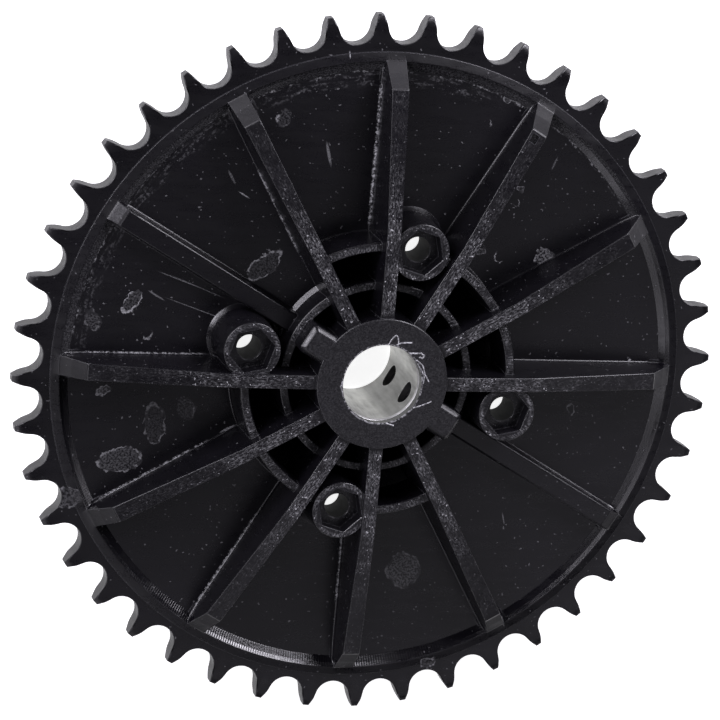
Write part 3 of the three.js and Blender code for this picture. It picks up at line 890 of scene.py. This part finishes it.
def floor():
    mesh = bpy.data.meshes.new("floor")
    half = 3.0
    corners = [(-half, -half, 0), (half, -half, 0), (half, half, 0), (-half, half, 0)]
    mesh.from_pydata(corners, [], [(0, 1, 2, 3)])
    plane = bpy.data.objects.new("floor", mesh)
    bpy.context.scene.collection.objects.link(plane)
    plane.location.z = -0.0005
    nodes = Nodes("floor_white")
    away = nodes.length(nodes.add("TexCoord").outputs["Object"])
    nodes.shader.inputs["Base Color"].default_value = (0.9, 0.9, 0.9, 1)
    nodes.shader.inputs["Roughness"].default_value = 0.9
    nodes.shader.inputs["Specular IOR Level"].default_value = 0
    nodes.shader.inputs["Emission Color"].default_value = (1, 1, 1, 1)
    nodes.feed(nodes.shader.inputs["Emission Strength"], nodes.ramp(away, 0.16, 0.5, 0.85, 0.45))
    mesh.materials.append(nodes.material)


def softbox(name, azimuth, elevation, width, height, power, distance=0.9):
    light = bpy.data.lights.new(name, "AREA")
    light.shape = "RECTANGLE"
    light.size, light.size_y = width, height
    light.energy = power
    light.color = (0.98, 0.95, 1.05)
    lamp = bpy.data.objects.new(name, light)
    bpy.context.scene.collection.objects.link(lamp)
    a, e = math.radians(azimuth), math.radians(elevation)
    toward = Vector((math.cos(e) * math.cos(a), math.cos(e) * math.sin(a), math.sin(e)))
    lamp.location = toward * distance
    lamp.rotation_euler = toward.to_track_quat("Z", "Y").to_euler()


# Soft light from all round, strongest low down at the top of the picture: azimuth, elevation, width,
# height and watts. They were set starting from a fit of test renders to the reference picture.
LAMPS = (
    (56, 25, 0.22, 0.20, 4.2),
    (51, 39, 0.30, 0.14, 2.8),
    (39, 14, 0.22, 0.24, 1.9),
    (158, 21, 0.20, 0.20, 2.6),
    (141, 25, 0.20, 0.28, 2.3),
    (123, 21, 0.22, 0.22, 1.9),
    (165, 46, 0.42, 0.36, 0.8),
    (205, 42, 0.42, 0.40, 1.0),
    (240, 34, 0.42, 0.36, 0.7),
    (330, 50, 0.42, 0.36, 0.22),
    (285, 50, 0.42, 0.36, 0.20),
    (310, 64, 0.50, 0.36, 0.14),
    (135, 78, 0.50, 0.40, 0.12),
    (262, 12, 0.42, 0.20, 0.25),
    (298, 12, 0.42, 0.20, 0.25),
    (334, 12, 0.42, 0.20, 0.25),
)


def world():
    sky = bpy.data.worlds.new("studio")
    sky.use_nodes = True
    sky.node_tree.nodes["Background"].inputs["Color"].default_value = (1, 1, 1, 1)
    sky.node_tree.nodes["Background"].inputs["Strength"].default_value = 0.0
    bpy.context.scene.world = sky


CAMERA_AZIMUTH = 134.97
CAMERA_ELEVATION = 68.81
CAMERA_ROLL = -4.99
CAMERA_DISTANCE = 1.0614
CAMERA_TARGET = Vector((-0.00248, 0.00235, 0.0171))
CAMERA_LENS = 208.05


def camera():
    data = bpy.data.cameras.new("camera")
    data.sensor_width = 36
    data.lens = CAMERA_LENS
    data.clip_end = 20
    view = bpy.data.objects.new("camera", data)
    bpy.context.scene.collection.objects.link(view)
    a, e = math.radians(CAMERA_AZIMUTH), math.radians(CAMERA_ELEVATION)
    back = Vector((math.cos(e) * math.cos(a), math.cos(e) * math.sin(a), math.sin(e)))
    up = (Vector((0, 1, 0)) - back * back.y).normalized()
    right = up.cross(back)
    roll = math.radians(CAMERA_ROLL)
    up, right = up * math.cos(roll) + right * math.sin(roll), right * math.cos(roll) - up * math.sin(roll)
    turn = Matrix((right, up, back)).transposed().to_4x4()
    view.matrix_world = Matrix.Translation(CAMERA_TARGET + back * CAMERA_DISTANCE) @ turn
    bpy.context.scene.camera = view


# ---- The scene ----

camera()
world()
floor()
for number, lamp in enumerate(LAMPS, 1):
    softbox(f"softbox_{number}", *lamp)
bpy.context.scene.view_settings.view_transform = "Standard"

finish_piece(sprocket_body(), moulded_plastic(), "sprocket_body")
finish_piece(hub_sleeve(), sleeve_metal(), "hub_sleeve")
